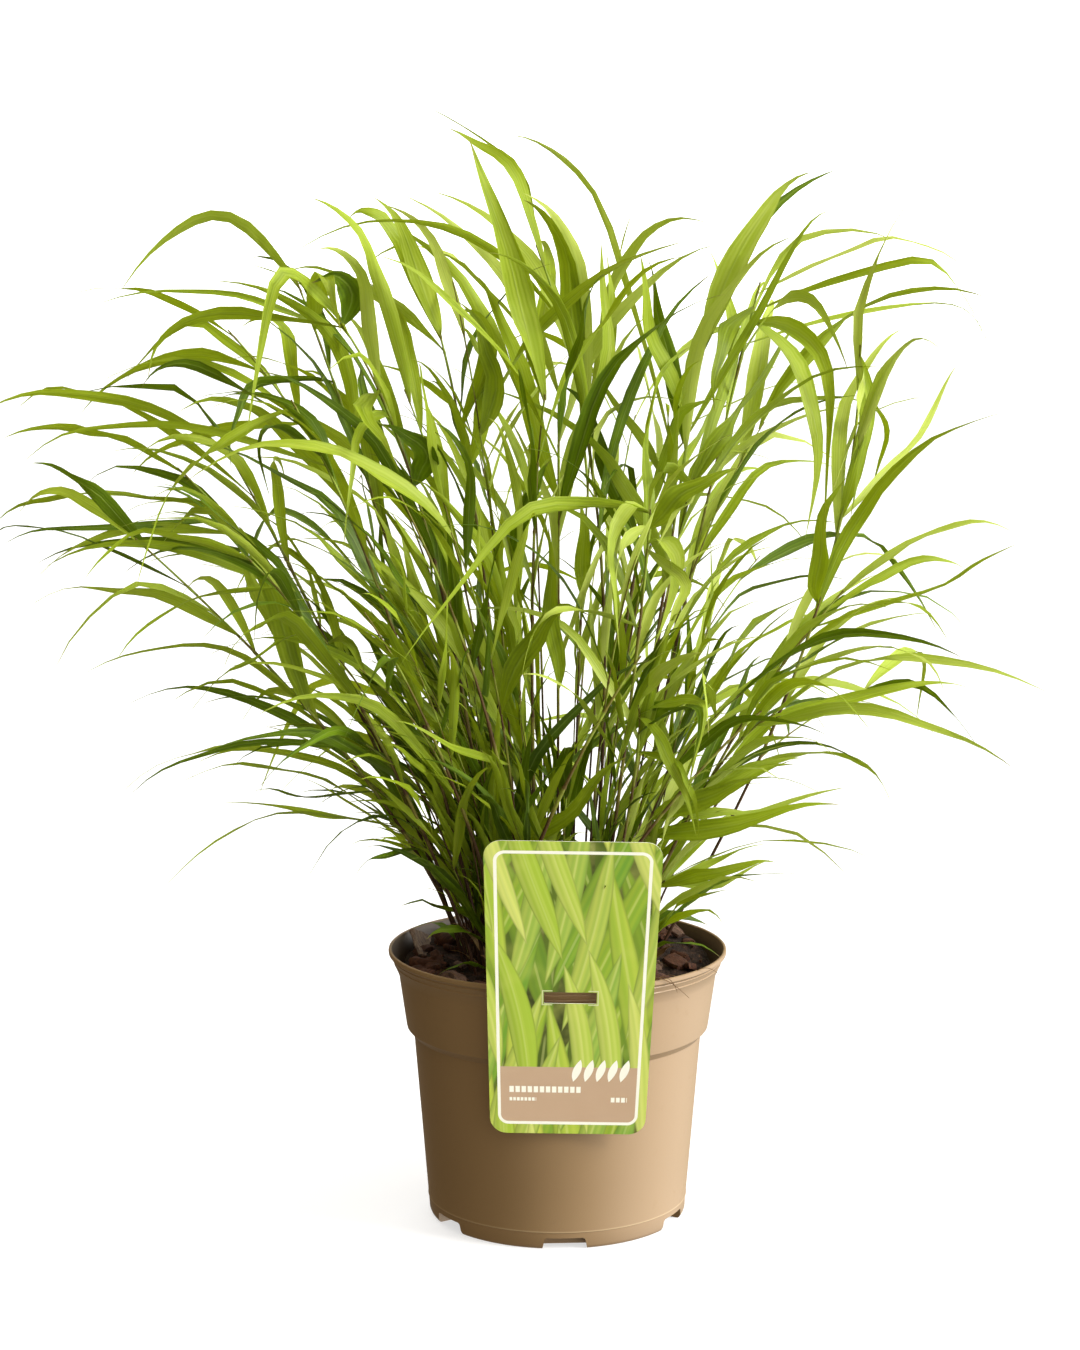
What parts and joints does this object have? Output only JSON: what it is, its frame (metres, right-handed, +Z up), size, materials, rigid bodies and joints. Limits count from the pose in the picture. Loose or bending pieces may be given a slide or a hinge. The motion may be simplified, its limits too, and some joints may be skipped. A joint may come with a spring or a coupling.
{
  "type": "potted japanese forest grass",
  "caption": "Potted Japanese forest grass: arching leafy stems in bark-topped soil, in a plastic nursery pot with a hooked plain label.",
  "frame": {"origin": "centre of the flat pad in the middle of the pot's underside, on the surface that the pot stands on", "axes": "+Z up the pot's axis; -Y towards the front, where the label hangs; +X to the right seen from the front"},
  "size_m": [0.5841, 0.4649, 0.6163],
  "materials": {
    "pot": "smooth moulded taupe-beige plastic, satin",
    "soil": "dark potting soil with brown bark mulch",
    "label": "printed plastic card, cream frame line over green blades, satin",
    "foliage": "thin living leaf, satin, lit yellow-green, darker inside; dark thin culms"
  },
  "bodies": {
    "root": {"pot": "pot", "soil": "soil", "label": "label", "stem_01": "foliage", "stem_02": "foliage", "stem_03": "foliage", "stem_04": "foliage", "stem_05": "foliage", "stem_06": "foliage", "stem_07": "foliage", "stem_08": "foliage", "stem_09": "foliage", "stem_10": "foliage", "stem_11": "foliage", "stem_12": "foliage", "stem_13": "foliage", "stem_14": "foliage", "stem_15": "foliage", "stem_16": "foliage", "stem_17": "foliage", "stem_18": "foliage", "stem_19": "foliage", "stem_20": "foliage", "stem_21": "foliage", "stem_22": "foliage", "stem_23": "foliage", "stem_24": "foliage", "stem_25": "foliage", "stem_26": "foliage", "stem_27": "foliage", "stem_28": "foliage", "stem_29": "foliage", "stem_30": "foliage", "stem_31": "foliage", "stem_32": "foliage", "stem_33": "foliage", "stem_34": "foliage", "stem_35": "foliage", "stem_36": "foliage", "stem_37": "foliage", "stem_38": "foliage", "stem_39": "foliage", "stem_40": "foliage", "stem_41": "foliage", "stem_42": "foliage", "stem_43": "foliage", "stem_44": "foliage", "stem_45": "foliage", "stem_46": "foliage", "stem_47": "foliage", "stem_48": "foliage", "stem_49": "foliage", "stem_50": "foliage", "stem_51": "foliage"}
  },
  "joints": []
}
